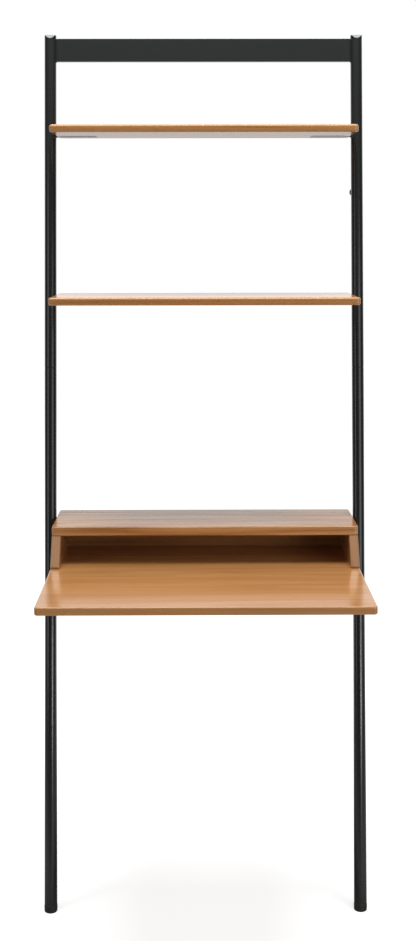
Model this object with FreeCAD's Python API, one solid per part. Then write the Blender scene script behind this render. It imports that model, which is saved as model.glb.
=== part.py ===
import FreeCAD, Part
import math
import os

# Ladder desk that leans on a wall: two slanting steel tubes carry two small
# shelves, an open cubby and a deep desk board.
# Millimetres. +X to the sitter's right, +Y towards the wall, +Z up.
# Origin on the floor, midway between the rails and midway between the desk's
# front edge and the wall.

# ---- overall -----------------------------------------------------------------
HEIGHT = 1830.0          # floor to the level top of the rail caps
LEAN_DEG = 10.9          # slope of both rails, top towards the wall
WALL_GAP = 1.0           # air between the tube ends and the wall
NEAR = 0.01              # edges are picked by their place to within this

# ---- rails -------------------------------------------------------------------
TUBE_D = 25.0
TUBE_WALL = 1.5
FOOT_END_D = 27.0        # the leg swells a little below the desk
SEAM_DROP = 156.0        # joint between lower and upper tube, below the middle shelf
SEAM_EASE = 0.6          # chamfer that makes the joint read as a fine line
SLEEVE_LEN = 120.0
SLEEVE_WALL = 2.0
SLIDE_FIT = 0.15         # radial clearance of anything pushed into a tube
GRUB_D = 5.0
GRUB_DROP = 30.0         # below the seam

# ---- plastic ends ------------------------------------------------------------
CAP_H = 7.5              # rails and caps are cut level, the caps this thick
CAP_ROUND = 1.5
CAP_FACET = 5.5          # a slanting facet takes this much off the front of a cap's top
STEM_LEN = 14.0
STEM_WALL = 2.5
STEM_TAPER = 0.3         # a stem's tip is this much smaller in radius
FOOT_D = 28.0
FOOT_H = 14.0            # foot cap under the tube end, on the rail's axis
FOOT_ROUND = 2.0
FOOT_TAPER = 1.0         # the foot is this much smaller in radius at the floor
FOOT_EASE = 1.0          # chamfer of the foot's shoulder

# ---- crossbar ----------------------------------------------------------------
BAR_H = 49.0
BAR_T = 5.0
BAR_DROP = 8.0           # below the top of the caps, just under the tube ends
BAR_FLARE = 2.5          # radius of the weld corner under each end

# ---- boards ------------------------------------------------------------------
BOARD_W = 630.0          # the boards fill the gap between the two tubes
SHELF_T = 16.0
UPPER_DROP = 199.0       # top of the upper shelf below the top of the caps
UPPER_DEPTH = 200.0
SHELF_PITCH = 346.0      # from one shelf's top to the next one's
MIDDLE_DEPTH = 221.0
SHELF_BEHIND = 46.0      # back edge of a shelf behind the rail's axis
CORNER_R = 7.0           # upright corners of a board
SHELF_EDGE_R = 5.0       # rounded top and bottom edges of the shelves
EDGE_R = 3.0             # eased top and bottom edges of desk and cubby

# ---- desk and cubby ----------------------------------------------------------
DESK_TOP = 740.0
DESK_T = 16.0
DESK_DEPTH = 517.0
DESK_BEHIND = 89.0       # back edge of desk and cubby behind the rail's axis
CUBBY_T = 19.0
CUBBY_CLEAR_H = 59.5     # open height of the cubby
CUBBY_DEPTH = 181.0
CUBBY_RAKE = 46.0        # how far the sides step forward from top to bottom
PANEL_T = 10.0           # back panel
REBATE = 8.0             # back panel lets into each side by this much

# ---- shelf tabs --------------------------------------------------------------
TAB_T = 2.5
TAB_LET = 2.0            # a tab is let into the shelf by this much
TAB_FIT = 0.2            # air round a tab in its recess
TAB_REACH = 86.0         # from the tube's inner face along the shelf
TAB_NECK = 12.0
TAB_NECK_W = 20.0
TAB_W = 56.0
TAB_R = 8.0
TAB_SCREW_IN = 16.0      # screws in from both ends of the pad

# ---- desk brackets -----------------------------------------------------------
BRACKET_T = 4.0
BRACKET_FRONT = 290.0    # ahead of the rail's axis
BRACKET_BACK = 55.0      # behind it
BRACKET_DROP = 92.0
BRACKET_NOSE = 24.0
BRACKET_FOOT_W = 38.0
BRACKET_FLANGE = 28.0
BRACKET_R = 10.0
BEND_R = 1.5             # inside the bend between web and flange
FLANGE_SCREW_IN = 18.0   # end screws in from the flange's ends

# ---- fasteners ---------------------------------------------------------------
BOLT_D = 6.0
BOLT_HEAD_D = 11.0
BOLT_HEAD_H = 3.2
SOCKET_D = 4.0
SOCKET_H = 2.0
BOLT_IN_NUT = 9.0
NUT_D = 9.0
NUT_LEN = 13.0
SCREW_D = 4.0
SCREW_HEAD_D = 8.0
SCREW_HEAD_H = 2.4
SCREW_HEAD_EASE = 1.0
SCREW_BITE = 11.0        # length of a screw in a board
LONG_BITE = 28.0         # length of a base screw in a cubby side
HOLE_FIT = 0.25          # radial clearance round a bolt or screw in steel
BRACKET_BOLT_TOP = 22.0  # bolt rows below the desk board
BRACKET_BOLT_PITCH = 42.0
DOWEL_D = 8.0
DOWEL_LEN = 26.0
DOWEL_FIT = 0.1
SIDE_END = 34.0          # dowels and screws keep this far from a side's ends
BACK_SCREW_END = 14.0    # back panel screws above the desk and under the top

# ---- wall spacer behind the right rail ---------------------------------------
SPACER_DROP = 131.0      # below the top of the upper shelf
SPACER_D = 12.0
SPACER_FLANGE_D = 16.0
SPACER_FLANGE_T = 4.0
SPACER_BORE_D = 6.4
SPACER_BORE_LEN = 45.0   # blind, for a stud that stands out of the wall

# ---- worked out from the sizes above -----------------------------------------
LEAN = math.radians(LEAN_DEG)
SIN_L = math.sin(LEAN)
COS_L = math.cos(LEAN)
TUBE_R = TUBE_D / 2
BORE_R = TUBE_R - TUBE_WALL
HALF_W = BOARD_W / 2
RAIL_X = HALF_W + TUBE_R
TUBE_TOP = HEIGHT - CAP_H
OVER_S = (HEIGHT + TUBE_R) / COS_L
FOOT_OUT = WALL_GAP + (TUBE_R + HEIGHT * SIN_L) / COS_L
DEPTH = DESK_DEPTH - DESK_BEHIND + FOOT_OUT - DESK_TOP * SIN_L / COS_L
WALL_Y = DEPTH / 2
FRONT_Y = -DEPTH / 2
FOOT_Y = WALL_Y - FOOT_OUT
FOOT_S = FOOT_H / COS_L
UPPER_TOP = HEIGHT - UPPER_DROP
MIDDLE_TOP = UPPER_TOP - SHELF_PITCH
SEAM_S = (MIDDLE_TOP - SEAM_DROP) / COS_L
SPACER_Z = UPPER_TOP - SPACER_DROP
DESK_UNDER = DESK_TOP - DESK_T
SWELL_S = (DESK_UNDER - BRACKET_DROP) / COS_L
DESK_BACK = FRONT_Y + DESK_DEPTH
CUBBY_UNDER = DESK_TOP + CUBBY_CLEAR_H
CUBBY_TOP = CUBBY_UNDER + CUBBY_T
CUBBY_FRONT = DESK_BACK - CUBBY_DEPTH
SIDE_IN = HALF_W - CUBBY_T
CUBBY_MID = (DESK_TOP + CUBBY_UNDER) / 2
LEFT = -1
RIGHT = 1
SIDES = ((LEFT, "left"), (RIGHT, "right"))
UP = FreeCAD.Vector(0, 0, 1)
ALONG_X = FreeCAD.Vector(1, 0, 0)
ALONG_Y = FreeCAD.Vector(0, 1, 0)


def point(x, y, z):
    return FreeCAD.Vector(x, y, z)


def axis_y(z):
    """Y of the rails' axis at a height."""
    return FOOT_Y + z * SIN_L / COS_L


def on_rail(shape, side):
    """Move a shape drawn on an upright axis onto the slanting axis of a rail."""
    turn = FreeCAD.Rotation(ALONG_X, -LEAN_DEG)
    shape.Placement = FreeCAD.Placement(point(side * RAIL_X, FOOT_Y, 0), turn)
    return shape


def turned(profile):
    """Solid of revolution from (radius, station) points."""
    points = [point(r, 0, s) for r, s in profile]
    wire = Part.makePolygon(points + [points[0]])
    return Part.Face(wire).revolve(point(0, 0, 0), UP, 360)


def rod(radius, length, start, direction):
    return Part.makeCylinder(radius, length, start, direction)


def fused(shapes):
    whole = shapes[0]
    for shape in shapes[1:]:
        whole = whole.fuse(shape)
    return whole.removeSplitter()


def without(shape, tools):
    for tool in tools:
        shape = shape.cut(tool)
    return shape


def dome(radius, height):
    """Cap of a ball on the Z axis, its flat side at zero."""
    ball_r = (radius ** 2 + height ** 2) / (2 * height)
    ball = Part.makeSphere(ball_r, point(0, 0, height - ball_r))
    return ball.common(rod(radius, height, point(0, 0, 0), UP))


def above(side, z):
    """Block over a rail from a height up, for cutting it level."""
    half = 2 * TUBE_D
    block = Part.makeBox(2 * half, 2 * half, half)
    block.translate(point(side * RAIL_X - half, axis_y(z) - half, z))
    return block


def upright_edges(shape):
    boxes = [(edge, edge.BoundBox) for edge in shape.Edges]
    return [edge for edge, box in boxes if box.XLength < NEAR and box.YLength < NEAR]


def level_edges(shape, z):
    boxes = [(edge, edge.BoundBox) for edge in shape.Edges]
    return [edge for edge, box in boxes if abs(box.ZMin - z) < NEAR and abs(box.ZMax - z) < NEAR]


def edges_along_y(shape, x, z):
    boxes = [(edge, edge.BoundBox) for edge in level_edges(shape, z)]
    return [edge for edge, box in boxes if abs(box.XMin - x) < NEAR and abs(box.XMax - x) < NEAR]


# ---- boards ------------------------------------------------------------------
def board(depth, thick, back, top, ease):
    """Board across the full gap, corners rounded and long edges eased."""
    start = point(-HALF_W, back - depth, top - thick)
    slab = Part.makeBox(BOARD_W, depth, thick, start)
    slab = slab.makeFillet(CORNER_R, upright_edges(slab))
    slab = slab.makeFillet(ease, level_edges(slab, top))
    return slab.makeFillet(ease, level_edges(slab, top - thick))


def shelf(depth, top):
    under = top - SHELF_T
    plain = board(depth, SHELF_T, axis_y(under) + SHELF_BEHIND, top, SHELF_EDGE_R)
    recesses = [tab_plate(side, under, TAB_FIT) for side, name in SIDES]
    return without(plain, recesses + tab_screws(under))


def desk_top():
    plain = board(DESK_DEPTH, DESK_T, DESK_BACK, DESK_TOP, EDGE_R)
    return without(plain, flange_screw_shanks() + base_screws())


def cubby_top():
    plain = board(CUBBY_DEPTH, CUBBY_T, DESK_BACK, CUBBY_TOP, EDGE_R)
    return without(plain, dowels(DOWEL_FIT))


def cubby_side(side):
    """End wall of the cubby: its front edge rakes forward to an eased foot."""
    outline = [
        point(0, CUBBY_FRONT, CUBBY_UNDER),
        point(0, DESK_BACK, CUBBY_UNDER),
        point(0, DESK_BACK, DESK_TOP),
        point(0, CUBBY_FRONT - CUBBY_RAKE, DESK_TOP),
    ]
    face = Part.Face(Part.makePolygon(outline + [outline[0]]))
    wall = face.extrude(point(CUBBY_T, 0, 0))
    boxes = [(edge, edge.BoundBox) for edge in wall.Edges]
    raked = [edge for edge, box in boxes if box.XLength < NEAR and box.YMax < CUBBY_FRONT + NEAR]
    toe = CUBBY_FRONT - CUBBY_RAKE
    foot = [edge for edge in level_edges(wall, DESK_TOP) if edge.BoundBox.YMax < toe + NEAR]
    wall = wall.makeFillet(EDGE_R, raked + foot)
    wall.translate(point(SIDE_IN if side == RIGHT else -HALF_W, 0, 0))
    tools = dowels(DOWEL_FIT) + base_screws() + back_screws() + [rebate(side), rail_bolt_hole(side)]
    return without(wall, tools)


def rebate(side):
    start_x = SIDE_IN if side == RIGHT else -SIDE_IN - REBATE
    start = point(start_x, DESK_BACK - PANEL_T, DESK_TOP)
    return Part.makeBox(REBATE, PANEL_T, CUBBY_CLEAR_H, start)


def cubby_back():
    width = 2 * (SIDE_IN + REBATE)
    start = point(-width / 2, DESK_BACK - PANEL_T, DESK_TOP)
    return without(Part.makeBox(width, PANEL_T, CUBBY_CLEAR_H, start), back_screws())


# ---- rails -------------------------------------------------------------------
def lower_tube(side):
    foot_r = FOOT_END_D / 2
    tube = turned([
        (foot_r, FOOT_S),
        (TUBE_R, SWELL_S),
        (TUBE_R, SEAM_S - SEAM_EASE),
        (TUBE_R - SEAM_EASE, SEAM_S),
        (BORE_R, SEAM_S),
        (BORE_R, SWELL_S),
        (foot_r - TUBE_WALL, FOOT_S),
    ])
    holes = [grub_screw(side), nut(side, CUBBY_MID)]
    holes += [nut(side, z) for z in bracket_bolt_heights()]
    return without(on_rail(tube, side), holes)


def upper_tube(side):
    tube = turned([
        (TUBE_R - SEAM_EASE, SEAM_S),
        (TUBE_R, SEAM_S + SEAM_EASE),
        (TUBE_R, OVER_S),
        (BORE_R, OVER_S),
        (BORE_R, SEAM_S),
    ])
    return on_rail(tube, side).cut(above(side, TUBE_TOP))


def joint_sleeve(side):
    outer = BORE_R - SLIDE_FIT
    inner = outer - SLEEVE_WALL
    half = SLEEVE_LEN / 2
    sleeve = turned([
        (outer, SEAM_S - half),
        (outer, SEAM_S + half),
        (inner, SEAM_S + half),
        (inner, SEAM_S - half),
    ])
    return on_rail(sleeve, side).cut(grub_screw(side))


def grub_screw(side):
    """Sits flush in the back of the lower tube and bites into the sleeve."""
    start = point(0, BORE_R - SLIDE_FIT - SLEEVE_WALL, SEAM_S - GRUB_DROP)
    reach = SLEEVE_WALL + SLIDE_FIT + TUBE_WALL
    screw = rod(GRUB_D / 2, reach, start, ALONG_Y)
    return on_rail(screw, side)


def rail_core(side):
    """The full round of a rail and its cap, for coping what is welded to it."""
    return on_rail(rod(TUBE_R, OVER_S - SWELL_S, point(0, 0, SWELL_S), UP), side)


# ---- plastic ends ------------------------------------------------------------
def stem(outer, start, tip):
    """Hollow plug of a cap, slightly tapered to its tip."""
    return turned([
        (outer, start),
        (outer - STEM_TAPER, tip),
        (outer - STEM_WALL, tip),
        (outer - STEM_WALL, start),
    ])


def cap_facet(side):
    """Wedge that takes a slanting facet off the front of a cap."""
    front = axis_y(HEIGHT) - TUBE_R / COS_L
    outline = [
        point(0, front - TUBE_D, HEIGHT - CAP_FACET - TUBE_D),
        point(0, front + CAP_FACET + TUBE_D, HEIGHT + TUBE_D),
        point(0, front - TUBE_D, HEIGHT + TUBE_D),
    ]
    wedge = Part.Face(Part.makePolygon(outline + [outline[0]])).extrude(point(TUBE_D, 0, 0))
    wedge.translate(point(side * RAIL_X - TUBE_R, 0, 0))
    return wedge


def top_cap(side):
    """Plug with a level head that slants off in front, its top edges rounded."""
    head = rail_core(side).common(above(side, TUBE_TOP)).cut(above(side, HEIGHT))
    head = head.cut(cap_facet(side))
    head = head.makeFillet(CAP_ROUND, level_edges(head, HEIGHT))
    plug = on_rail(stem(BORE_R - SLIDE_FIT, OVER_S, TUBE_TOP / COS_L - STEM_LEN), side)
    return fused([head, plug.cut(above(side, TUBE_TOP))])


def foot_cap(side):
    """Plug in the tube end with a thick tapered head, cut level at the floor."""
    head_r = FOOT_D / 2
    head = turned([
        (0, FOOT_S),
        (head_r - FOOT_EASE, FOOT_S),
        (head_r, FOOT_S - FOOT_EASE),
        (head_r - FOOT_TAPER, -head_r),
        (0, -head_r),
    ])
    plug = stem(FOOT_END_D / 2 - TUBE_WALL - SLIDE_FIT, FOOT_S, FOOT_S + STEM_LEN)
    whole = on_rail(fused([head, plug]), side)
    below = Part.makeBox(2 * FOOT_D, 2 * FOOT_D, FOOT_D)
    below.translate(point(side * RAIL_X - FOOT_D, FOOT_Y - FOOT_D, -FOOT_D))
    whole = whole.cut(below)
    return whole.makeFillet(FOOT_ROUND, level_edges(whole, 0))


# ---- crossbar ----------------------------------------------------------------
def crossbar():
    """Flat bar welded between the rails in their own slanting plane."""
    top = (HEIGHT - BAR_DROP) / COS_L
    low = top - BAR_H
    bar = Part.makeBox(2 * RAIL_X, BAR_T, BAR_H, point(0, -BAR_T / 2, low))
    corner = weld_corner(low)
    other = corner.mirror(point(RAIL_X, 0, 0), ALONG_X)
    whole = on_rail(fused([bar, corner, other]), LEFT)
    return without(whole, [rail_core(LEFT), rail_core(RIGHT)])


def weld_corner(low):
    """Hollow-curved corner under the left end of the bar, run out to the tube."""
    reach = TUBE_R + BAR_FLARE
    block = Part.makeBox(reach, BAR_T, BAR_FLARE, point(0, -BAR_T / 2, low - BAR_FLARE))
    hollow = rod(BAR_FLARE, BAR_T, point(reach, -BAR_T / 2, low - BAR_FLARE), ALONG_Y)
    return block.cut(hollow)


# ---- shelf tabs --------------------------------------------------------------
def tab_plate(side, under, grow):
    """Flat tongue let into a shelf's underside, or its recess when grown a little."""
    y = axis_y(under)
    low = tab_face(under)
    pad_start = point(HALF_W - TAB_REACH - grow, y - TAB_W / 2 - grow, low)
    pad = Part.makeBox(TAB_REACH - TAB_NECK + 2 * grow, TAB_W + 2 * grow, TAB_T, pad_start)
    pad = pad.makeFillet(TAB_R + grow, upright_edges(pad))
    neck_start = point(HALF_W - TAB_NECK - TAB_R, y - TAB_NECK_W / 2 - grow, low)
    neck = Part.makeBox(TAB_R + TAB_NECK + TUBE_R, TAB_NECK_W + 2 * grow, TAB_T, neck_start)
    plate = fused([pad, neck])
    if side == LEFT:
        plate = plate.mirror(point(0, 0, 0), ALONG_X)
    return plate


def tab_face(under):
    """Height of a tab's lower face, a little under the shelf it is let into."""
    return under + TAB_LET - TAB_T


def shelf_tab(side, under):
    """Steel tongue welded to the rail, countersunk for its screws."""
    tools = [rail_core(side)] + tab_screws(under) + tab_screw_holes(under)
    return without(tab_plate(side, under, 0.0), tools)


def tab_screw_points(under):
    y = axis_y(under)
    z = tab_face(under)
    outer = HALF_W - TAB_NECK - TAB_SCREW_IN
    inner = HALF_W - TAB_REACH + TAB_SCREW_IN
    return [point(side * x, y, z) for side, name in SIDES for x in (outer, inner)]


def tab_screws(under):
    return [flush_screw(p, TAB_T + SCREW_BITE) for p in tab_screw_points(under)]


def tab_screw_holes(under):
    return [rod(SCREW_D / 2 + HOLE_FIT, TAB_T, p, UP) for p in tab_screw_points(under)]


def flush_screw(p, length):
    """Countersunk wood screw driven upwards, its head flush at its place."""
    head_r = SCREW_HEAD_D / 2
    screw = turned([
        (0, 0),
        (head_r, 0),
        (SCREW_D / 2, head_r - SCREW_D / 2),
        (SCREW_D / 2, length),
        (0, length),
    ])
    screw.translate(p)
    return screw


def pan_screw(p, grip):
    """Pan-head wood screw driven upwards, head under the steel."""
    head_r = SCREW_HEAD_D / 2
    screw = turned([
        (0, -SCREW_HEAD_H),
        (head_r - SCREW_HEAD_EASE, -SCREW_HEAD_H),
        (head_r, SCREW_HEAD_EASE - SCREW_HEAD_H),
        (head_r, 0),
        (SCREW_D / 2, 0),
        (SCREW_D / 2, grip + SCREW_BITE),
        (0, grip + SCREW_BITE),
    ])
    screw.translate(p)
    return screw


def shelf_screws():
    screws = tab_screws(UPPER_TOP - SHELF_T) + tab_screws(MIDDLE_TOP - SHELF_T)
    return Part.makeCompound(screws)


# ---- desk brackets -----------------------------------------------------------
def desk_bracket(side):
    """Bent steel bracket: a web bolted to the rail, a flange under the desk."""
    rail_top = axis_y(DESK_UNDER)
    low = DESK_UNDER - BRACKET_DROP
    rail_low = axis_y(low)
    front = rail_top - BRACKET_FRONT
    back = rail_top + BRACKET_BACK
    outline = [
        point(0, front, DESK_UNDER),
        point(0, front, DESK_UNDER - BRACKET_NOSE),
        point(0, rail_low - BRACKET_FOOT_W / 2, low),
        point(0, rail_low + BRACKET_FOOT_W / 2, low),
        point(0, back, DESK_UNDER - BRACKET_NOSE),
        point(0, back, DESK_UNDER),
    ]
    web = Part.Face(Part.makePolygon(outline + [outline[0]])).extrude(point(BRACKET_T, 0, 0))
    boxes = [(edge, edge.BoundBox) for edge in web.Edges]
    corners = [edge for edge, box in boxes if box.YLength < NEAR and box.ZMax < DESK_UNDER - NEAR]
    corners = [edge for edge in corners if edge.BoundBox.ZLength < NEAR]
    web = web.makeFillet(BRACKET_R, corners)
    web.translate(point(HALF_W - BRACKET_T, 0, 0))
    start = point(HALF_W - BRACKET_FLANGE, front, DESK_UNDER - BRACKET_T)
    flange = Part.makeBox(BRACKET_FLANGE, back - front, BRACKET_T, start)
    bracket = fused([web, flange])
    inside = edges_along_y(bracket, HALF_W - BRACKET_T, DESK_UNDER - BRACKET_T)
    bracket = bracket.makeFillet(BEND_R, inside)
    outside = edges_along_y(bracket, HALF_W, DESK_UNDER)
    bracket = bracket.makeFillet(BEND_R + BRACKET_T, outside)
    if side == LEFT:
        bracket = bracket.mirror(point(0, 0, 0), ALONG_X)
    return without(bracket, bracket_bolt_holes(side) + flange_screw_holes())


def bracket_bolt_holes(side):
    radius = BOLT_D / 2 + HOLE_FIT
    starts = [point(side * (HALF_W - BRACKET_T), axis_y(z), z) for z in bracket_bolt_heights()]
    return [rod(radius, BRACKET_T, start, ALONG_X * side) for start in starts]


def flange_screw_holes():
    return [rod(SCREW_D / 2 + HOLE_FIT, BRACKET_T, p, UP) for p in flange_screw_points()]


def bracket_bolt_heights():
    first = DESK_UNDER - BRACKET_BOLT_TOP
    return (first, first - BRACKET_BOLT_PITCH)


def flange_screw_points():
    x = HALF_W - (BRACKET_FLANGE + BRACKET_T) / 2
    z = DESK_UNDER - BRACKET_T
    front = axis_y(DESK_UNDER) - BRACKET_FRONT + FLANGE_SCREW_IN
    back = axis_y(DESK_UNDER) + BRACKET_BACK - FLANGE_SCREW_IN
    rows = (front, (front + back) / 2, back)
    return [point(side * x, y, z) for side, name in SIDES for y in rows]


def flange_screw_shanks():
    return [rod(SCREW_D / 2, BRACKET_T + SCREW_BITE, p, UP) for p in flange_screw_points()]


def desk_board_screws():
    return Part.makeCompound([pan_screw(p, BRACKET_T) for p in flange_screw_points()])


# ---- bolts into the rails ----------------------------------------------------
def nut(side, z):
    """Rivet nut set in the tube wall that faces the boards."""
    return rod(NUT_D / 2, NUT_LEN, point(side * HALF_W, axis_y(z), z), ALONG_X * side)


def nut_bore(side, z):
    return rod(BOLT_D / 2, NUT_LEN, point(side * HALF_W, axis_y(z), z), ALONG_X * side)


def rail_rivet_nuts():
    heights = (CUBBY_MID,) + bracket_bolt_heights()
    nuts = [nut(side, z).cut(nut_bore(side, z)) for side, name in SIDES for z in heights]
    return Part.makeCompound(nuts)


def button_bolt(side, z, grip):
    """Button-head bolt driven outwards into a rivet nut."""
    head = dome(BOLT_HEAD_D / 2, BOLT_HEAD_H)
    socket = rod(SOCKET_D / 2, SOCKET_H, point(0, 0, BOLT_HEAD_H - SOCKET_H), UP)
    shank = rod(BOLT_D / 2, grip + BOLT_IN_NUT, point(0, 0, 0), UP * -1)
    bolt = fused([head.cut(socket), shank])
    turn = FreeCAD.Rotation(UP, ALONG_X * -side)
    bolt.Placement = FreeCAD.Placement(point(side * (HALF_W - grip), axis_y(z), z), turn)
    return bolt


def desk_bracket_bolts():
    heights = bracket_bolt_heights()
    return Part.makeCompound([button_bolt(side, z, BRACKET_T) for side, name in SIDES for z in heights])


def cubby_rail_bolts():
    return Part.makeCompound([button_bolt(side, CUBBY_MID, CUBBY_T) for side, name in SIDES])


def rail_bolt_hole(side):
    start = point(side * SIDE_IN, axis_y(CUBBY_MID), CUBBY_MID)
    return rod(BOLT_D / 2 + HOLE_FIT, CUBBY_T, start, ALONG_X * side)


# ---- cubby joinery -----------------------------------------------------------
def side_centres():
    """X and Y places along the middle of both cubby sides."""
    x = HALF_W - CUBBY_T / 2
    rows = (CUBBY_FRONT + SIDE_END, DESK_BACK - SIDE_END)
    return [(side * x, y) for side, name in SIDES for y in rows]


def dowels(clearance=0.0):
    half = DOWEL_LEN / 2 + clearance
    radius = DOWEL_D / 2 + clearance
    return [rod(radius, 2 * half, point(x, y, CUBBY_UNDER - half), UP) for x, y in side_centres()]


def base_screws():
    """Screws up through the desk board into the cubby sides."""
    length = DESK_T + LONG_BITE
    return [flush_screw(point(x, y, DESK_UNDER), length) for x, y in side_centres()]


def back_screws():
    """Countersunk screws through the back panel into the rebated sides."""
    head_r = SCREW_HEAD_D / 2
    length = PANEL_T + SCREW_BITE
    screws = []
    for side, name in SIDES:
        for z in (DESK_TOP + BACK_SCREW_END, CUBBY_UNDER - BACK_SCREW_END):
            start = point(side * (SIDE_IN + REBATE / 2), DESK_BACK, z)
            shank = rod(SCREW_D / 2, length, start, ALONG_Y * -1)
            head = Part.makeCone(head_r, SCREW_D / 2, head_r - SCREW_D / 2, start, ALONG_Y * -1)
            screws.append(fused([shank, head]))
    return screws


# ---- wall spacer -------------------------------------------------------------
def spacer_bore():
    return rod(SPACER_BORE_D / 2, SPACER_BORE_LEN, point(RAIL_X, WALL_Y, SPACER_Z), ALONG_Y * -1)


def wall_spacer():
    """Turned collar between the right rail and the wall, bored for a wall stud."""
    back = point(RAIL_X, WALL_Y, SPACER_Z)
    reach = WALL_Y - axis_y(SPACER_Z)
    stem = rod(SPACER_D / 2, reach, back, ALONG_Y * -1)
    flange = rod(SPACER_FLANGE_D / 2, SPACER_FLANGE_T, back, ALONG_Y * -1)
    taper = Part.makeCone(
        SPACER_FLANGE_D / 2, SPACER_D / 2, SPACER_FLANGE_T,
        point(RAIL_X, WALL_Y - SPACER_FLANGE_T, SPACER_Z), ALONG_Y * -1)
    return without(fused([stem, flange, taper]), [rail_core(RIGHT), spacer_bore()])


def save(name, shape):
    shape.exportStep("parts/" + name + ".step")


def main():
    os.makedirs("parts", exist_ok=True)
    for side, name in SIDES:
        save(name + "_lower_tube", lower_tube(side))
        save(name + "_upper_tube", upper_tube(side))
        save(name + "_joint_sleeve", joint_sleeve(side))
        save(name + "_top_cap", top_cap(side))
        save(name + "_foot_cap", foot_cap(side))
        save("upper_shelf_" + name + "_tab", shelf_tab(side, UPPER_TOP - SHELF_T))
        save("middle_shelf_" + name + "_tab", shelf_tab(side, MIDDLE_TOP - SHELF_T))
        save(name + "_desk_bracket", desk_bracket(side))
        save("cubby_" + name + "_side", cubby_side(side))
    save("joint_grub_screws", Part.makeCompound([grub_screw(side) for side, name in SIDES]))
    save("crossbar", crossbar())
    save("upper_shelf", shelf(UPPER_DEPTH, UPPER_TOP))
    save("middle_shelf", shelf(MIDDLE_DEPTH, MIDDLE_TOP))
    save("shelf_screws", shelf_screws())
    save("desk_top", desk_top())
    save("desk_board_screws", desk_board_screws())
    save("desk_bracket_bolts", desk_bracket_bolts())
    save("rail_rivet_nuts", rail_rivet_nuts())
    save("cubby_top", cubby_top())
    save("cubby_back", cubby_back())
    save("cubby_dowels", Part.makeCompound(dowels()))
    save("cubby_base_screws", Part.makeCompound(base_screws()))
    save("cubby_back_screws", Part.makeCompound(back_screws()))
    save("cubby_rail_bolts", cubby_rail_bolts())
    save("wall_spacer", wall_spacer())


main()
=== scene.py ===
import math

import bpy
from bpy.props import FloatProperty, FloatVectorProperty, PointerProperty
from mathutils import Matrix, Vector


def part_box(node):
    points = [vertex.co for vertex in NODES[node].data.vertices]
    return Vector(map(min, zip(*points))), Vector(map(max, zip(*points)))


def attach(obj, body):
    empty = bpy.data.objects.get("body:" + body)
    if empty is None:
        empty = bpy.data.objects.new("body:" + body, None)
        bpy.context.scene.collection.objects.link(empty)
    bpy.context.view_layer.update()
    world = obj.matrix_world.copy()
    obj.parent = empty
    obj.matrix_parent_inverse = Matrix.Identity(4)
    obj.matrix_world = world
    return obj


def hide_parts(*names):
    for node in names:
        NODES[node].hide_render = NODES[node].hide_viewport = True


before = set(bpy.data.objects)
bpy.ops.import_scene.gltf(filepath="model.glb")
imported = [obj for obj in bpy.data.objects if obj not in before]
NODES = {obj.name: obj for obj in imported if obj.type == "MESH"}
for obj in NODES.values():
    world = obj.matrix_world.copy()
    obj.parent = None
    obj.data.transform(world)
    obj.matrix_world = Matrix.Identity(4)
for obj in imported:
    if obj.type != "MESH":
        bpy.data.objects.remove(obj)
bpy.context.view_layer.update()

bl_info = {
    "name": "Ladder Desk Looks",
    "version": (1, 0, 0),
    "blender": (4, 5, 0),
    "location": "View3D > Sidebar > Ladder Desk",
    "description": "Finishes, small details and a studio for a desk that leans on a wall",
    "category": "Object",
}

MM = 0.001


def linear(hex_colour):
    """Linear red, green and blue of an sRGB hex colour."""
    parts = [int(hex_colour[i:i + 2], 16) / 255 for i in (1, 3, 5)]
    return [c / 12.92 if c <= 0.04045 else ((c + 0.055) / 1.055) ** 2.4 for c in parts]


def colour(hex_colour, name, description):
    return FloatVectorProperty(
        name=name, description=description, subtype="COLOR", size=3,
        min=0.0, max=1.0, default=linear(hex_colour))


def length(mm, name, description):
    return FloatProperty(
        name=name, description=description, default=mm * MM, min=0.0,
        subtype="DISTANCE", unit="LENGTH", precision=4)


def rgba(rgb):
    return (*rgb, 1.0)


# ---- node helpers -------------------------------------------------------------
def add_node(tree, kind, settings=None, **links):
    """Add a node, set its attributes and sockets, and link what is given as a socket."""
    node = tree.nodes.new(kind)
    for key, value in (settings or {}).items():
        setattr(node, key, value)
    for key, value in links.items():
        label = key.replace("_", " ").strip()
        socket = node.inputs[int(label)] if label.isdigit() else node.inputs[label]
        if isinstance(value, bpy.types.NodeSocket):
            tree.links.new(value, socket)
        else:
            socket.default_value = value
    return node


def new_material(name):
    material = bpy.data.materials.new(name)
    material.use_nodes = True
    material.node_tree.nodes.clear()
    return material, material.node_tree


def close_material(tree, **sockets):
    """Principled shader with these sockets, joined to the output."""
    shader = add_node(tree, "ShaderNodeBsdfPrincipled", None, **sockets)
    add_node(tree, "ShaderNodeOutputMaterial", None, Surface=shader.outputs["BSDF"])


def dress(material, names):
    """Give a CAD node's slots this material."""
    for name in names:
        mesh = NODES[name].data
        if not mesh.materials:
            mesh.materials.append(material)
        for i in range(len(mesh.materials)):
            mesh.materials[i] = material


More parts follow.
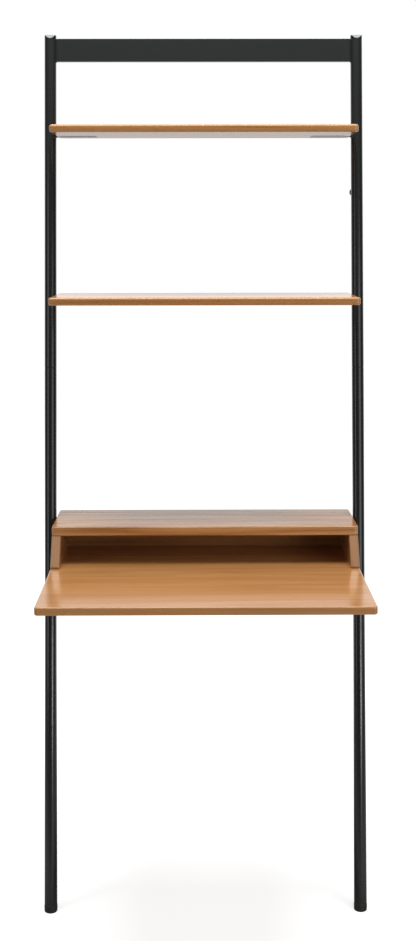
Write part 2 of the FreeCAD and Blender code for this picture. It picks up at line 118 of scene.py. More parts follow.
# ---- settings -----------------------------------------------------------------
class LadderDeskFinishes(bpy.types.PropertyGroup):
    """Colours and sizes of the finishes"""

    coat: colour("#1C1E1E", "Powder coat", "Graphite powder coat on the steel")
    coat_grain: length(1.6, "Coat grain", "Spacing of the orange peel in the powder coat")
    wood_light: colour("#BE8F5C", "Veneer light", "Light wood between the growth lines")
    wood_mid: colour("#B17D4B", "Veneer middle", "Body colour of the stained veneer")
    wood_dark: colour("#9C6A3A", "Veneer dark", "Growth lines of the stained veneer")
    streak_width: length(4.0, "Streak width", "Width of a streak across the grain")
    streak_length: length(300.0, "Streak length", "Length of a streak along the grain")
    figure_width: length(75.0, "Figure width", "Width of the broad figure across the grain")
    figure_length: length(900.0, "Figure length", "Length of the broad figure along the grain")
    pore_width: length(1.5, "Pore width", "Width of an open pore in the wood")
    pore_length: length(22.0, "Pore length", "Length of an open pore in the wood")
    side_rake: FloatProperty(
        name="Side rake", description="Slope of a cubby side's front from upright",
        default=math.radians(37.7), subtype="ANGLE")
    side_front: length(10.2, "Side front", "Place of the rake's top, towards the wall")
    side_top: length(799.5, "Side top", "Height of the rake's top")
    band_depth: length(2.5, "Band depth", "Depth of the veneer band on a raked front")
    # Painted shade and sheen: this tint darkens and greys the veneer on the raked cubby fronts,
    # for how light falls on those faces.
    band_shade_and_sheen: colour("#D8E0FA", "Band tone", "Tone of the edge band against the veneer")
    cap: colour("#0C0C0D", "Cap plastic", "Glossy plastic of the rail caps")
    foot: colour("#101111", "Foot rubber", "Rubber of the feet")
    zinc: colour("#B9BCC0", "Zinc plate", "Plated steel of the hidden hardware")
    blackened: colour("#232325", "Black oxide", "Blackened steel of the screws")
    beech: colour("#D8B48A", "Beech", "Raw beech of the dowels")
    brown_head: colour("#7A5232", "Brown heads", "Lacquer on the bolt heads in the cubby")


class LadderDeskWelds(bpy.types.PropertyGroup):
    """Sizes of the weld beads and the line of the rails they sit on"""

    bead: length(1.4, "Bead", "Radius of a weld bead")
    ripple: length(1.5, "Ripple", "Spacing of the ripples along a bead")
    rail_x: length(327.5, "Rail place", "Rail's axis from the desk's middle")
    tube: length(12.5, "Tube radius", "Outer radius of a rail")
    bar_half: length(2.5, "Bar half", "Half the thickness of the crossbar")
    lean: FloatProperty(
        name="Lean", description="Lean of the rails from upright",
        default=math.radians(10.9), subtype="ANGLE")


class LadderDeskStage(bpy.types.PropertyGroup):
    """Sizes and levels of the studio"""

    floor_size: FloatProperty(
        name="Floor size", description="Side of the square floor", default=14.0,
        min=1.0, unit="LENGTH")
    lens: FloatProperty(
        name="Lens", description="Focal length of the camera", default=53.56, min=1.0)
    eye_height: FloatProperty(
        name="Eye height", description="Camera above the floor", default=1.419, unit="LENGTH")
    eye_front: FloatProperty(
        name="Eye distance", description="Camera ahead of the desk's centre",
        default=2.8031, unit="LENGTH")
    eye_side: FloatProperty(
        name="Eye side", description="Camera to the right of the desk's centre",
        default=-0.0140, unit="LENGTH")
    pitch: FloatProperty(
        name="Pitch", description="Camera looks down by this", default=math.radians(9.75),
        subtype="ANGLE")
    yaw: FloatProperty(
        name="Yaw", description="Camera turns right by this", default=math.radians(0.414),
        subtype="ANGLE")
    roll: FloatProperty(
        name="Roll", description="Camera tips to the left by this",
        default=math.radians(-0.084), subtype="ANGLE")


# ---- finishes -----------------------------------------------------------------
RAMP_REACH = 0.27               # from the veneer ramp's middle to its ends, at a contrast of 1
RING_FOLDS = 12.0               # the figure's noise is folded this often, to light and dark
RING_SHARE = 0.22               # of the folds in the veneer's tone; the rest is streaks
FIGURE_MOVE = (3.1, 7.7, 1.9)   # shifts the broad figure against the streaks, in its cells
TURNING_MARK = 0.6 * MM         # coarser than the real marks, which are too fine to show


def object_place(tree, scale, move=(0.0, 0.0, 0.0), place=None):
    """Object coordinates, or a place made from them, divided into cells of a real size."""
    if place is None:
        place = add_node(tree, "ShaderNodeTexCoord").outputs["Object"]
    return add_node(
        tree, "ShaderNodeMapping", {"vector_type": "POINT"}, Vector=place,
        Location=move, Scale=scale).outputs["Vector"]


def powder_coat(settings):
    """Powder-coated steel: charged dust baked to one even skin, satin with a fine orange peel."""
    material, tree = new_material("powder_coated_steel")
    cell = 1.0 / settings.coat_grain
    peel = add_node(
        tree, "ShaderNodeTexNoise", None, Vector=object_place(tree, (cell,) * 3),
        Scale=1.0, Detail=2.0, Roughness=0.5)
    rough = add_node(
        tree, "ShaderNodeMapRange", None, Value=peel.outputs["Fac"],
        To_Min=0.20, To_Max=0.26)
    bump = add_node(
        tree, "ShaderNodeBump", None, Height=peel.outputs["Fac"],
        Strength=0.15, Distance=0.04 * MM)
    close_material(
        tree, Base_Color=rgba(settings.coat), Roughness=rough.outputs["Result"],
        Normal=bump.outputs["Normal"])
    return material


def side_place(tree, settings):
    """Object coordinates, turned on the raked front so that the grain runs along its band."""
    place = add_node(tree, "ShaderNodeTexCoord").outputs["Object"]
    up_the_rake = add_node(
        tree, "ShaderNodeVectorRotate", {"rotation_type": "X_AXIS"}, Vector=place,
        Angle=settings.side_rake - math.radians(90))
    parts = add_node(tree, "ShaderNodeSeparateXYZ", None, Vector=place)
    inward = add_node(
        tree, "ShaderNodeMath", {"operation": "MULTIPLY_ADD"}, _0=parts.outputs["Y"],
        _1=math.cos(settings.side_rake),
        _2=settings.side_top * math.sin(settings.side_rake)
        - settings.side_front * math.cos(settings.side_rake))
    depth = add_node(
        tree, "ShaderNodeMath", {"operation": "MULTIPLY_ADD"}, _0=parts.outputs["Z"],
        _1=-math.sin(settings.side_rake), _2=inward.outputs["Value"])
    band = add_node(
        tree, "ShaderNodeMath", {"operation": "LESS_THAN"}, _0=depth.outputs["Value"],
        _1=settings.band_depth)
    mix = add_node(
        tree, "ShaderNodeMix", {"data_type": "VECTOR"}, Factor=band.outputs["Value"])
    tree.links.new(place, mix.inputs[4])
    tree.links.new(up_the_rake.outputs["Vector"], mix.inputs[5])
    return mix.outputs[1], band.outputs["Value"]


def veneer(settings, name, grain_axis=0, contrast=0.8, dull=0.0, from_side=False):
    """Sliced hardwood veneer, stained and sprayed with satin lacquer.

    It shows long streaks under a thin gloss. A higher contrast brings the ends of its ramp
    closer to the middle.
    """
    material, tree = new_material(name)
    place, band = side_place(tree, settings) if from_side else (None, 0.0)

    def cells(long, wide, move):
        scale = [1.0 / wide] * 3
        scale[grain_axis] = 1.0 / long
        return object_place(tree, scale, move, place)

    figure = add_node(
        tree, "ShaderNodeTexNoise", None,
        Vector=cells(settings.figure_length, settings.figure_width, FIGURE_MOVE),
        Scale=1.0, Detail=1.5, Roughness=0.45, Distortion=0.2)
    rings = add_node(
        tree, "ShaderNodeMath", {"operation": "MULTIPLY"}, _0=figure.outputs["Fac"],
        _1=RING_FOLDS)
    ring = add_node(
        tree, "ShaderNodeMath", {"operation": "PINGPONG"}, _0=rings.outputs["Value"], _1=1.0)
    streak = add_node(
        tree, "ShaderNodeTexNoise", None,
        Vector=cells(settings.streak_length, settings.streak_width, (0.0, 0.0, 0.0)),
        Scale=1.0, Detail=5.0, Roughness=0.62)
    blend = add_node(
        tree, "ShaderNodeMix", {"data_type": "FLOAT"}, Factor=RING_SHARE,
        _2=streak.outputs["Fac"], _3=ring.outputs["Value"])
    ramp = add_node(tree, "ShaderNodeValToRGB", None, Fac=blend.outputs["Result"])
    elements = ramp.color_ramp.elements
    elements[0].position = 0.5 - RAMP_REACH / contrast
    elements[0].color = rgba(settings.wood_dark)
    elements[1].position = 0.5 + RAMP_REACH / contrast
    elements[1].color = rgba(settings.wood_light)
    middle = elements.new(0.5)
    middle.color = rgba(settings.wood_mid)
    pore = add_node(
        tree, "ShaderNodeTexNoise", None,
        Vector=cells(settings.pore_length, settings.pore_width, (0.0, 0.0, 0.0)),
        Scale=1.0, Detail=2.0, Roughness=0.6)
    open_pore = add_node(
        tree, "ShaderNodeMapRange", {"interpolation_type": "SMOOTHSTEP"},
        Value=pore.outputs["Fac"], From_Min=0.60, From_Max=0.74, To_Min=0.0, To_Max=0.32)
    stained = add_node(
        tree, "ShaderNodeMix", {"data_type": "RGBA", "blend_type": "MULTIPLY"},
        Factor=open_pore.outputs["Result"])
    tree.links.new(ramp.outputs["Color"], stained.inputs[6])
    stained.inputs[7].default_value = rgba(settings.wood_dark)
    # Painted shade and sheen: the raked front's band is multiplied by a darker, greyer tint.
    band_shaded = add_node(
        tree, "ShaderNodeMix", {"data_type": "RGBA", "blend_type": "MULTIPLY"}, Factor=band)
    tree.links.new(stained.outputs[2], band_shaded.inputs[6])
    band_shaded.inputs[7].default_value = rgba(settings.band_shade_and_sheen)
    bump = add_node(
        tree, "ShaderNodeBump", {"invert": True}, Height=open_pore.outputs["Result"],
        Strength=0.15, Distance=0.05 * MM)
    rough = add_node(
        tree, "ShaderNodeMapRange", None, Value=streak.outputs["Fac"],
        From_Min=0.36, From_Max=0.62, To_Min=0.19 + dull, To_Max=0.17)
    close_material(
        tree, Base_Color=band_shaded.outputs[2], Roughness=rough.outputs["Result"],
        Coat_Weight=0.12, Coat_Roughness=0.08, Normal=bump.outputs["Normal"])
    return material


def even_skin(name, rgb, roughness, grain, depth):
    """Moulded plastic or rubber, lacquer or raw wood: even colour with a faint texture."""
    material, tree = new_material(name)
    cell = 1.0 / grain
    skin = add_node(
        tree, "ShaderNodeTexNoise", None, Vector=object_place(tree, (cell,) * 3),
        Scale=1.0, Detail=2.0)
    rough = add_node(
        tree, "ShaderNodeMapRange", None, Value=skin.outputs["Fac"],
        To_Min=roughness * 0.85, To_Max=roughness * 1.15)
    bump = add_node(
        tree, "ShaderNodeBump", None, Height=skin.outputs["Fac"], Strength=0.2, Distance=depth)
    close_material(
        tree, Base_Color=rgba(rgb), Roughness=rough.outputs["Result"],
        Normal=bump.outputs["Normal"])
    return material


def plated_steel(name, rgb, roughness):
    """Plated or blackened steel: drawn and machined, with fine turning marks."""
    material, tree = new_material(name)
    marks = add_node(
        tree, "ShaderNodeTexNoise", None, Vector=object_place(tree, (1 / TURNING_MARK,) * 3),
        Scale=1.0, Detail=3.0)
    rough = add_node(
        tree, "ShaderNodeMapRange", None, Value=marks.outputs["Fac"],
        To_Min=roughness * 0.8, To_Max=roughness * 1.2)
    close_material(
        tree, Base_Color=rgba(rgb), Metallic=1.0, Roughness=rough.outputs["Result"])
    return material


STEEL_NODES = (
    "left_lower_tube", "right_lower_tube", "left_upper_tube", "right_upper_tube", "crossbar",
    "upper_shelf_left_tab", "upper_shelf_right_tab", "middle_shelf_left_tab",
    "middle_shelf_right_tab", "left_desk_bracket", "right_desk_bracket", "wall_spacer")
BOARD_NODES = ("upper_shelf", "middle_shelf", "desk_top", "cubby_back")
SIDE_NODES = ("cubby_left_side", "cubby_right_side")
CAP_NODES = ("left_top_cap", "right_top_cap")
FOOT_NODES = ("left_foot_cap", "right_foot_cap")
PLATED_NODES = ("left_joint_sleeve", "right_joint_sleeve", "rail_rivet_nuts")
HIDDEN_SCREW_NODES = ("joint_grub_screws",)
DOWEL_NODES = ("cubby_dowels",)


class DESK_OT_coat_steel(bpy.types.Operator):
    """Powder coat the rails, the crossbar, the tabs, the brackets and the spacer"""

    bl_idname = "desk.coat_steel"
    bl_label = "Coat the steel"

    def execute(self, context):
        dress(powder_coat(context.scene.desk_finishes), STEEL_NODES)
        return {"FINISHED"}


class DESK_OT_veneer_boards(bpy.types.Operator):
    """Veneer the shelves, the desk board and the cubby"""

    bl_idname = "desk.veneer_boards"
    bl_label = "Veneer the boards"

    def execute(self, context):
        finishes = context.scene.desk_finishes
        dress(veneer(finishes, "veneer_boards"), BOARD_NODES)
        dress(veneer(finishes, "veneer_cubby_top", contrast=2.4, dull=0.18), ("cubby_top",))
        dress(veneer(finishes, "veneer_sides", grain_axis=1, from_side=True), SIDE_NODES)
        return {"FINISHED"}


class DESK_OT_mould_ends(bpy.types.Operator):
    """Finish the plastic caps and the rubber feet"""

    bl_idname = "desk.mould_ends"
    bl_label = "Finish caps and feet"

    def execute(self, context):
        finishes = context.scene.desk_finishes
        # ABS moulded in a polished tool: it mirrors the lamps, with hardly a ripple.
        cap = even_skin(
            "gloss_abs", finishes.cap, roughness=0.12, grain=3 * MM, depth=0.01 * MM)
        # Rubber moulded in an etched tool: dull, with a fine grain.
        foot = even_skin(
            "foot_rubber", finishes.foot, roughness=0.6, grain=0.8 * MM, depth=0.05 * MM)
        dress(cap, CAP_NODES)
        dress(foot, FOOT_NODES)
        return {"FINISHED"}


class DESK_OT_plate_hardware(bpy.types.Operator):
    """Finish the sleeves, nuts, grub screws and dowels"""

    bl_idname = "desk.plate_hardware"
    bl_label = "Finish the hardware"

    def execute(self, context):
        finishes = context.scene.desk_finishes
        zinc = plated_steel("zinc_plated_steel", finishes.zinc, roughness=0.32)
        black = plated_steel("blackened_steel", finishes.blackened, roughness=0.4)
        # Beech turned to a rod and left raw: pale and dull, with short fibres standing up.
        beech = even_skin(
            "raw_beech", finishes.beech, roughness=0.7, grain=1.2 * MM, depth=0.05 * MM)
        dress(zinc, PLATED_NODES)
        dress(black, HIDDEN_SCREW_NODES)
        dress(beech, DOWEL_NODES)
        return {"FINISHED"}


# ---- fasteners ----------------------------------------------------------------
# Sizes in mm. Heads, shanks and lengths are those of the CAD nodes that they replace.
SCREW_HEAD_R = 4.0
SCREW_SHANK_R = 2.0
PAN_HEIGHT = 2.4
BOLT_HEAD_R = 5.5
BOLT_SHANK_R = 3.0
BUTTON_HEIGHT = 3.2
SHELF_SCREW = 13.5
BOARD_SCREW = 15.0
BASE_SCREW = 44.0
BACK_SCREW = 21.0
BRACKET_BOLT = 13.0
RAIL_BOLT = 28.0
TAB_SCREW_STEPS = (16, 58)   # in from a tab's inner end
SAME_ROW = 1.0               # bolts closer in height than this are a single one
CROSS_ACROSS = 4.3           # over the arms of a cross recess
CROSS_SLOT = 0.95
CROSS_DEPTH = 1.7
CROSS_TAPER = 0.45           # its floor against its mouth
SOCKET_ACROSS = 4.0          # over the flats of a hexagon socket
SOCKET_DEPTH = 2.0
HEAD_SMOOTH = math.radians(35)


def deselect():
    bpy.ops.object.select_all(action="DESELECT")


def turned(name, profile, sides=32):
    """Solid of revolution about Z through (radius, height) steps in mm.

    It is a disc, extruded and resized from step to step.
    """
    deselect()
    radius, height = profile[0]
    bpy.ops.mesh.primitive_circle_add(
        vertices=sides, radius=radius * MM, fill_type="NGON", location=(0, 0, height * MM))
    piece = bpy.context.active_object
    piece.name = piece.data.name = name
    bpy.ops.object.transform_apply(location=True, rotation=True, scale=True)
    bpy.ops.object.mode_set(mode="EDIT")
    bpy.ops.mesh.select_all(action="SELECT")
    for wide, high in profile[1:]:
        bpy.ops.mesh.extrude_region_move(
            TRANSFORM_OT_translate={"value": (0, 0, (high - height) * MM)})
        ratio = wide / radius
        bpy.ops.transform.resize(
            value=(ratio, ratio, 1.0), center_override=(0, 0, high * MM))
        radius, height = wide, high
    bpy.ops.mesh.select_all(action="SELECT")
    bpy.ops.mesh.normals_make_consistent(inside=False)
    bpy.ops.object.mode_set(mode="OBJECT")
    return piece


def cross_cutter(at):
    """Tapered cross for a screw's recess, whose mouth is at this height in mm."""
    deselect()
    bpy.ops.mesh.primitive_cube_add(size=1.0, location=(0, 0, at * MM))
    cutter = bpy.context.active_object
    cutter.dimensions = (CROSS_SLOT * MM, CROSS_SLOT * MM, 2 * CROSS_DEPTH * MM)
    bpy.ops.object.transform_apply(location=True, rotation=True, scale=True)
    bpy.ops.object.mode_set(mode="EDIT")
    bpy.ops.mesh.select_all(action="DESELECT")
    bpy.ops.object.mode_set(mode="OBJECT")
    for face in cutter.data.polygons:
        face.select = abs(face.normal.z) < 0.5
    bpy.ops.object.mode_set(mode="EDIT")
    bpy.ops.mesh.select_mode(type="FACE")
    bpy.ops.mesh.extrude_faces_move(
        TRANSFORM_OT_shrink_fatten={"value": (CROSS_ACROSS - CROSS_SLOT) / 2 * MM})
    bpy.ops.mesh.select_all(action="DESELECT")
    bpy.ops.object.mode_set(mode="OBJECT")
    for face in cutter.data.polygons:
        face.select = face.normal.z > 0.5
    bpy.ops.object.mode_set(mode="EDIT")
    bpy.ops.transform.resize(
        value=(CROSS_TAPER, CROSS_TAPER, 1.0),
        center_override=(0, 0, (at + CROSS_DEPTH) * MM))
    bpy.ops.object.mode_set(mode="OBJECT")
    return cutter


def hex_cutter(at):
    """Hexagon for a bolt's socket, whose mouth is at this height in mm."""
    deselect()
    bpy.ops.mesh.primitive_cylinder_add(
        vertices=6, radius=SOCKET_ACROSS / math.sqrt(3) * MM, depth=2 * SOCKET_DEPTH * MM,
        location=(0, 0, at * MM))
    cutter = bpy.context.active_object
    bpy.ops.object.transform_apply(location=True, rotation=True, scale=True)
    return cutter


def sink(piece, cutter):
    """Cut the recess into the head, then throw the cutter away."""
    deselect()
    piece.select_set(True)
    bpy.context.view_layer.objects.active = piece
    cut = piece.modifiers.new("recess", "BOOLEAN")
    cut.operation = "DIFFERENCE"
    cut.solver = "EXACT"
    cut.object = cutter
    bpy.ops.object.modifier_apply(modifier=cut.name)
    bpy.data.meshes.remove(cutter.data)
    bpy.ops.object.shade_smooth_by_angle(angle=HEAD_SMOOTH)
    if not piece.data.polygons:
        raise RuntimeError("the recess has eaten " + piece.name)
    return piece


def wood_tip(reach):
    """Shank and blunt tip of a wood screw that reaches this high."""
    return (SCREW_SHANK_R, reach - 3.0), (1.3, reach - 1.2), (0.3, reach)


def countersunk(name, reach):
    """Wood screw with a flat countersunk head at 0, facing down, and a cross recess."""
    screw = turned(name, (
        (3.85, 0.0), (SCREW_HEAD_R, 0.1), (SCREW_SHANK_R, 2.1), *wood_tip(reach)))
    return sink(screw, cross_cutter(0.0))


def pan_head(name, reach):
    """Wood screw with a domed pan head and a cross recess; its head stands below 0."""
    screw = turned(name, (
        (1.8, -PAN_HEIGHT), (2.9, -2.25), (3.5, -1.9), (3.9, -1.2), (SCREW_HEAD_R, -0.5),
        (SCREW_HEAD_R, 0.0), (SCREW_SHANK_R, 0.0), *wood_tip(reach)))
    return sink(screw, cross_cutter(-PAN_HEIGHT))


def button_head(name, reach):
    """Bolt with a low domed head and a hexagon socket; its head stands below 0."""
    bolt = turned(name, (
        (2.9, -BUTTON_HEIGHT), (3.9, -2.9), (4.75, -2.25), (5.3, -1.4), (BOLT_HEAD_R, -0.6),
        (BOLT_HEAD_R, 0.0), (BOLT_SHANK_R, 0.0), (BOLT_SHANK_R, reach - 0.6), (2.4, reach)))
    return sink(bolt, hex_cutter(-BUTTON_HEIGHT))


def head_places(low, high):
    """Axes of the first and the last screw of a node, from the box round their heads."""
    return low + SCREW_HEAD_R * MM, high - SCREW_HEAD_R * MM


def set_copies(model, turn, places, material, node=None):
    """Copy a piece that points up to every place, all turned the same way."""
    name = model.name
    for number, place in enumerate(places, 1):
        deselect()
        model.select_set(True)
        bpy.context.view_layer.objects.active = model
        bpy.ops.object.duplicate()
        piece = bpy.context.active_object
        piece.name = piece.data.name = f"{name}_{number}"
        piece.rotation_euler = turn
        piece.location = place
        bpy.ops.object.transform_apply(location=True, rotation=True, scale=True)
        piece.data.materials.clear()
        piece.data.materials.append(material)
        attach(piece, "root")
        if node:
            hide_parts(node)


def finish_models(*models):
    """Throw away the models that have been copied into place."""
    for model in models:
        bpy.data.meshes.remove(model.data)


class DESK_OT_drive_fasteners(bpy.types.Operator):
    """Screws and bolts with their recesses, in the places of the plain ones"""

    bl_idname = "desk.drive_fasteners"
    bl_label = "Drive the fasteners"

    def execute(self, context):
        finishes = context.scene.desk_finishes
        black = plated_steel("blackened_screws", finishes.blackened, roughness=0.4)
        # Lacquer sprayed on steel heads: even and half dull.
        brown = even_skin(
            "brown_lacquer", finishes.brown_head, roughness=0.45, grain=1.5 * MM,
            depth=0.01 * MM)
        self.shelf_screws(black)
        self.board_screws(black)
        self.cubby_screws(black)
        self.bolts(black, brown)
        return {"FINISHED"}

    def shelf_screws(self, black):
        """Two through each tab into its shelf."""
        model = countersunk("shelf_screw", SHELF_SCREW)
        places = []
        for side, mirror in (("left", -1), ("right", 1)):
            for shelf in ("upper_shelf", "middle_shelf"):
                low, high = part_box(f"{shelf}_{side}_tab")
                inner = min(abs(low.x), abs(high.x))
                for step in TAB_SCREW_STEPS:
                    places.append((mirror * (inner + step * MM), (low.y + high.y) / 2, low.z))
        set_copies(model, (0, 0, 0), places, black, "shelf_screws")
        finish_models(model)

    def board_screws(self, black):
        """Three through each bracket's flange into the desk board."""
        model = pan_head("desk_board_screw", BOARD_SCREW)
        low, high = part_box("desk_board_screws")
        front, back = head_places(low.y, high.y)
        places = [
            (x, y, low.z + PAN_HEIGHT * MM) for x in head_places(low.x, high.x)
            for y in (front, (front + back) / 2, back)]
        set_copies(model, (0, 0, 0), places, black, "desk_board_screws")
        finish_models(model)

    def cubby_screws(self, black):
        """Up through the desk board into the sides, and forward through the back panel."""
        model = countersunk("cubby_base_screw", BASE_SCREW)
        low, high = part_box("cubby_base_screws")
        places = [
            (x, y, low.z) for x in head_places(low.x, high.x)
            for y in head_places(low.y, high.y)]
        set_copies(model, (0, 0, 0), places, black, "cubby_base_screws")
        shorter = countersunk("cubby_back_screw", BACK_SCREW)
        low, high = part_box("cubby_back_screws")
        places = [
            (x, high.y, z) for x in head_places(low.x, high.x)
            for z in head_places(low.z, high.z)]
        set_copies(
            shorter, (math.radians(90), 0, 0), places, black,
            "cubby_back_screws")
        finish_models(model, shorter)

    def bolts(self, black, brown):
        """Button heads inside the brackets and the cubby, driven out into the rails."""
        for name, reach, node, material in (
                ("desk_bracket_bolt", BRACKET_BOLT, "desk_bracket_bolts", black),
                ("cubby_rail_bolt", RAIL_BOLT, "cubby_rail_bolts", brown)):
            bolt = button_head(name, reach)
            low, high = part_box(node)
            inset = BOLT_HEAD_R * MM
            ends = [(low.y + inset, low.z + inset), (high.y - inset, high.z - inset)]
            if ends[1][1] - ends[0][1] < SAME_ROW * MM:
                ends = ends[:1]
            for word, side in (("left", -1), ("right", 1)):
                bolt.name = f"{name}_{word}"
                places = [(side * (high.x - reach * MM), y, z) for y, z in ends]
                set_copies(
                    bolt, (0, side * math.radians(90), 0), places, material,
                    node)
            finish_models(bolt)


# ---- welds --------------------------------------------------------------------
BEAD_SIDES = 12
BEAD_SMOOTH = math.radians(60)
BEAD_END = 0.45              # radius against the bead's full one: at its ends,
BEAD_DIP = 0.82              # between two ripples
BEAD_LOW_CREST = 0.96        # and on every third crest
CREST_AT = 0.35              # crest and dip, as shares of a ripple's length
DIP_AT = 0.85
BEAD_SHIFT = 0.3             # of its radius from bar and tube's corner to the bead's axis
BAR_WELD_SHORT = 6 * MM      # a bead is this much shorter than the crossbar is high
BAR_WELD_RAISE = 1 * MM      # and its middle this much above the crossbar's
TAB_WELD_BEND = math.radians(103)
TAB_WELD_CLEAR = 1.01        # radius of its curve against the tube's


def bead_profile(radius, ripple, reach):
    """Ripples of a bead in mm, one per dab of the torch, along this length about 0."""
    count = max(4, round(reach / ripple))
    steps = [(BEAD_END * radius, -reach / 2)]
    for i in range(count):
        start = -reach / 2 + reach * i / count
        crest = radius * (1.0 if i % 3 else BEAD_LOW_CREST)
        steps.append((crest, start + CREST_AT * reach / count))
        steps.append((radius * BEAD_DIP, start + DIP_AT * reach / count))
    steps.append((BEAD_END * radius, reach / 2))
    return steps


class DESK_OT_run_welds(bpy.types.Operator):
    """Rippled beads where the crossbar and the shelf tabs are welded to the rails"""

    bl_idname = "desk.run_welds"
    bl_label = "Run the welds"

    def execute(self, context):
        welds = context.scene.desk_welds
        coat = bpy.data.materials.get("powder_coated_steel")
        if coat is None:
            raise RuntimeError("coat the steel before the welds are run")
        self.bar_welds(welds, coat)
        self.tab_welds(welds, coat)
        return {"FINISHED"}

    def bar_welds(self, welds, coat):
        """Straight beads down both faces of the crossbar at each rail."""
        low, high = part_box("crossbar")
        reach = (high.z - low.z - BAR_WELD_SHORT) / math.cos(welds.lean)
        model = turned("bar_weld", bead_profile(
            welds.bead / MM, welds.ripple / MM, reach / MM), sides=BEAD_SIDES)
        bpy.ops.object.shade_smooth_by_angle(angle=BEAD_SMOOTH)
        inward = math.sqrt(welds.tube ** 2 - welds.bar_half ** 2)
        x = welds.rail_x - inward - BEAD_SHIFT * welds.bead
        y, z = (low.y + high.y) / 2, (low.z + high.z) / 2 + BAR_WELD_RAISE
        forward = welds.bar_half * math.cos(welds.lean)
        upward = welds.bar_half * math.sin(welds.lean)
        places = [
            (side * x, y - face * forward, z + face * upward)
            for side in (-1, 1) for face in (-1, 1)]
        set_copies(model, (-welds.lean, 0, 0), places, coat)
        finish_models(model)

    def tab_welds(self, welds, coat):
        """Curved beads round the tube, under each tab's neck."""
        radius = welds.tube * TAB_WELD_CLEAR
        model = turned("tab_weld", bead_profile(
            welds.bead / MM, welds.ripple / MM, radius * TAB_WELD_BEND / MM),
            sides=BEAD_SIDES)
        model.rotation_euler = (0, math.radians(90), 0)
        bpy.ops.object.transform_apply(location=True, rotation=True, scale=True)
        curl = model.modifiers.new("curl", "SIMPLE_DEFORM")
        curl.deform_method = "BEND"
        curl.deform_axis = "Z"
        curl.angle = TAB_WELD_BEND
        bpy.ops.object.modifier_apply(modifier=curl.name)
        bpy.ops.object.shade_smooth_by_angle(angle=BEAD_SMOOTH)
        ahead = max(model.data.vertices, key=lambda v: abs(v.co.x)).co.y
        if ahead < 0:
            raise RuntimeError("the bead has curled the wrong way")
        for word, side in (("left", -1), ("right", 1)):
            model.name = f"tab_weld_{word}"
            places = []
            for shelf in ("upper_shelf", "middle_shelf"):
                low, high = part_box(f"{shelf}_{word}_tab")
                places.append((side * (welds.rail_x - radius), (low.y + high.y) / 2, low.z))
            set_copies(model, (0, 0, side * math.radians(-90)), places, coat)
        finish_models(model)


# ---- stage --------------------------------------------------------------------
GLOW = 0.05                  # strength of the world where it lights
FLOOR_PAINT = 0.6
FLOOR_LIFT = 0.78            # beside the desk, so that its shadow stays; 1 is white
LAMPS = (
    # name, place, target, size across and along in m, power in W
    ("key_front", (0.0, -0.25, 3.4), (0.0, -0.25, 0.75), (2.2, 1.4), 60.0),
    ("key_back", (0.0, 0.25, 3.4), (0.0, 0.25, 0.75), (2.2, 0.8), 50.0),
    ("left_box", (-1.7, -1.05, 1.3), (0.0, 0.1, 1.0), (0.65, 1.8), 7.5),
    ("right_box", (1.35, -1.35, 1.2), (0.0, 0.1, 1.0), (1.25, 1.6), 12.0),
    ("right_low", (1.6, -2.6, 0.55), (0.0, 0.1, 0.8), (0.8, 0.35), 13.0))


def seen_white(tree, mirrored):
    """1 for a ray from the camera or through glass, and this share for a mirrored one."""
    path = add_node(tree, "ShaderNodeLightPath")
    seen = add_node(
        tree, "ShaderNodeMath", {"operation": "MAXIMUM"},
        _0=path.outputs["Is Camera Ray"], _1=path.outputs["Is Transmission Ray"])
    shine = add_node(
        tree, "ShaderNodeMath", {"operation": "MULTIPLY"},
        _0=path.outputs["Is Glossy Ray"], _1=mirrored)
    return add_node(
        tree, "ShaderNodeMath", {"operation": "MAXIMUM"},
        _0=seen.outputs["Value"], _1=shine.outputs["Value"]).outputs["Value"]


def light_world():
    """White where it is seen and behind the desk, a soft even glow where it lights."""
    world = bpy.data.worlds.new("studio")
    world.use_nodes = True
    tree = world.node_tree
    tree.nodes.clear()
    way = add_node(tree, "ShaderNodeTexCoord").outputs["Generated"]
    parts = add_node(tree, "ShaderNodeSeparateXYZ", None, Vector=way)
    behind = add_node(
        tree, "ShaderNodeMapRange", {"interpolation_type": "SMOOTHSTEP"},
        Value=parts.outputs["Y"], From_Min=0.05, From_Max=0.92, To_Min=0.0, To_Max=1.0)
    overhead = add_node(
        tree, "ShaderNodeMapRange", {"interpolation_type": "SMOOTHSTEP"},
        Value=parts.outputs["Z"], From_Min=0.25, From_Max=0.75, To_Min=0.06, To_Max=0.7)
    below = add_node(
        tree, "ShaderNodeMapRange", {"interpolation_type": "SMOOTHSTEP"},
        Value=parts.outputs["Z"], From_Min=-0.04, From_Max=0.0, To_Min=0.7, To_Max=1.0)
    wall = add_node(
        tree, "ShaderNodeMath", {"operation": "MULTIPLY"},
        _0=behind.outputs["Result"], _1=below.outputs["Result"])
    mirrored = add_node(
        tree, "ShaderNodeMath", {"operation": "MAXIMUM"},
        _0=wall.outputs["Value"], _1=overhead.outputs["Result"])
    path = add_node(tree, "ShaderNodeLightPath")
    glow = add_node(
        tree, "ShaderNodeMath", {"operation": "MULTIPLY"},
        _0=path.outputs["Is Diffuse Ray"], _1=GLOW)
    level = add_node(
        tree, "ShaderNodeMath", {"operation": "MAXIMUM"},
        _0=seen_white(tree, mirrored.outputs["Value"]), _1=glow.outputs["Value"])
    back = add_node(
        tree, "ShaderNodeBackground", None, Color=(1, 1, 1, 1), Strength=level.outputs["Value"])
    add_node(tree, "ShaderNodeOutputWorld", None, Surface=back.outputs["Background"])
    bpy.context.scene.world = world


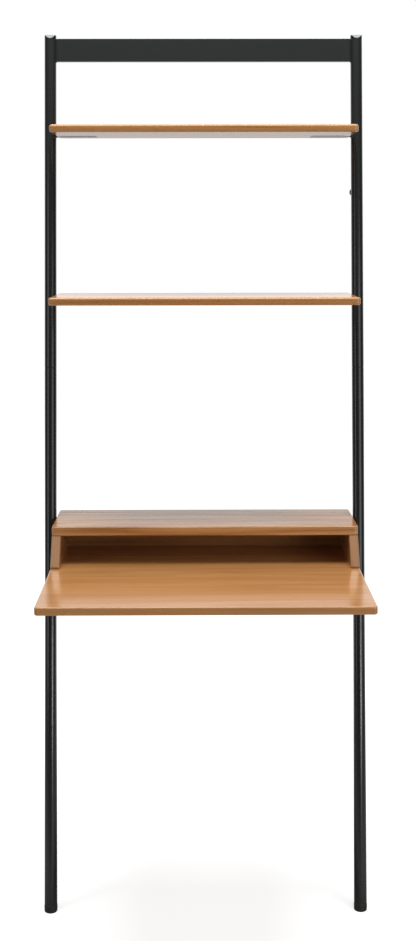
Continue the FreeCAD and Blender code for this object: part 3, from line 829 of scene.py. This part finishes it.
def floor_material():
    """White studio floor, rolled with matt paint.

    It keeps the desk's shadow and is lifted to the white around it.
    """
    material, tree = new_material("studio_floor")
    paint = add_node(tree, "ShaderNodeBsdfDiffuse", None, Color=rgba((FLOOR_PAINT,) * 3))
    place = add_node(tree, "ShaderNodeTexCoord").outputs["Object"]
    depth = add_node(tree, "ShaderNodeSeparateXYZ", None, Vector=place).outputs["Y"]
    # Mirrored rays find it white behind the desk only, so that it is no lamp for the gloss.
    behind = add_node(
        tree, "ShaderNodeMapRange", {"interpolation_type": "SMOOTHSTEP"}, Value=depth,
        From_Min=0.4, From_Max=1.4, To_Min=0.0, To_Max=1.0)
    away = add_node(tree, "ShaderNodeVectorMath", {"operation": "LENGTH"}, _0=place)
    level = add_node(
        tree, "ShaderNodeMapRange", {"interpolation_type": "SMOOTHSTEP"},
        Value=away.outputs["Value"], From_Min=0.5, From_Max=2.0, To_Min=FLOOR_LIFT,
        To_Max=1.0)
    lift = add_node(
        tree, "ShaderNodeEmission", None, Color=(1, 1, 1, 1),
        Strength=add_node(
            tree, "ShaderNodeMath", {"operation": "MULTIPLY"},
            _0=seen_white(tree, behind.outputs["Result"]),
            _1=level.outputs["Result"]).outputs["Value"])
    both = add_node(tree, "ShaderNodeAddShader", None, _0=paint.outputs["BSDF"],
                    _1=lift.outputs["Emission"])
    add_node(tree, "ShaderNodeOutputMaterial", None, Surface=both.outputs["Shader"])
    return material


def softbox(name, place, target, size, power):
    """Area light of size (across, along) that faces a target."""
    data = bpy.data.lights.new(name, "AREA")
    data.shape = "RECTANGLE"
    data.size, data.size_y = size
    data.energy = power
    lamp = bpy.data.objects.new(name, data)
    bpy.context.scene.collection.objects.link(lamp)
    lamp.location = place
    lamp.rotation_mode = "QUATERNION"
    lamp.rotation_quaternion = (Vector(target) - Vector(place)).to_track_quat("-Z", "Y")


class DESK_OT_stage(bpy.types.Operator):
    """Floor, studio light and camera"""

    bl_idname = "desk.stage"
    bl_label = "Set the stage"

    def execute(self, context):
        stage = context.scene.desk_stage
        deselect()
        bpy.ops.mesh.primitive_plane_add(size=stage.floor_size, location=(0, 0, 0))
        floor = context.active_object
        floor.name = "studio_floor"
        floor.data.materials.append(floor_material())
        light_world()
        for lamp in LAMPS:
            softbox(*lamp)
        data = bpy.data.cameras.new("camera")
        data.lens = stage.lens
        camera = bpy.data.objects.new("camera", data)
        context.scene.collection.objects.link(camera)
        camera.matrix_world = (
            Matrix.Translation((stage.eye_side, -stage.eye_front, stage.eye_height))
            @ Matrix.Rotation(-stage.yaw, 4, "Z")
            @ Matrix.Rotation(math.radians(90) - stage.pitch, 4, "X")
            @ Matrix.Rotation(stage.roll, 4, "Z"))
        context.scene.camera = camera
        context.scene.view_settings.view_transform = "Standard"
        return {"FINISHED"}


class DESK_PT_panel(bpy.types.Panel):
    """Buttons for the desk's finishes and its stage"""

    bl_label = "Ladder Desk"
    bl_idname = "DESK_PT_panel"
    bl_space_type = "VIEW_3D"
    bl_region_type = "UI"
    bl_category = "Ladder Desk"

    def draw(self, context):
        for operator in OPERATORS:
            self.layout.operator(operator.bl_idname)
        scene = context.scene
        for group in (scene.desk_finishes, scene.desk_welds, scene.desk_stage):
            box = self.layout.box()
            for name in group.__annotations__:
                box.prop(group, name)


OPERATORS = (
    DESK_OT_coat_steel, DESK_OT_veneer_boards, DESK_OT_mould_ends, DESK_OT_plate_hardware,
    DESK_OT_drive_fasteners, DESK_OT_run_welds, DESK_OT_stage)
CLASSES = (
    LadderDeskFinishes, LadderDeskWelds, LadderDeskStage, *OPERATORS, DESK_PT_panel)


def register():
    for cls in CLASSES:
        bpy.utils.register_class(cls)
    bpy.types.Scene.desk_finishes = PointerProperty(type=LadderDeskFinishes)
    bpy.types.Scene.desk_welds = PointerProperty(type=LadderDeskWelds)
    bpy.types.Scene.desk_stage = PointerProperty(type=LadderDeskStage)


def unregister():
    del bpy.types.Scene.desk_stage
    del bpy.types.Scene.desk_welds
    del bpy.types.Scene.desk_finishes
    for cls in reversed(CLASSES):
        bpy.utils.unregister_class(cls)


def main():
    register()
    bpy.ops.desk.coat_steel()
    bpy.ops.desk.veneer_boards()
    bpy.ops.desk.mould_ends()
    bpy.ops.desk.plate_hardware()
    bpy.ops.desk.drive_fasteners()
    bpy.ops.desk.run_welds()
    bpy.ops.desk.stage()


if __name__ == "__main__":
    main()
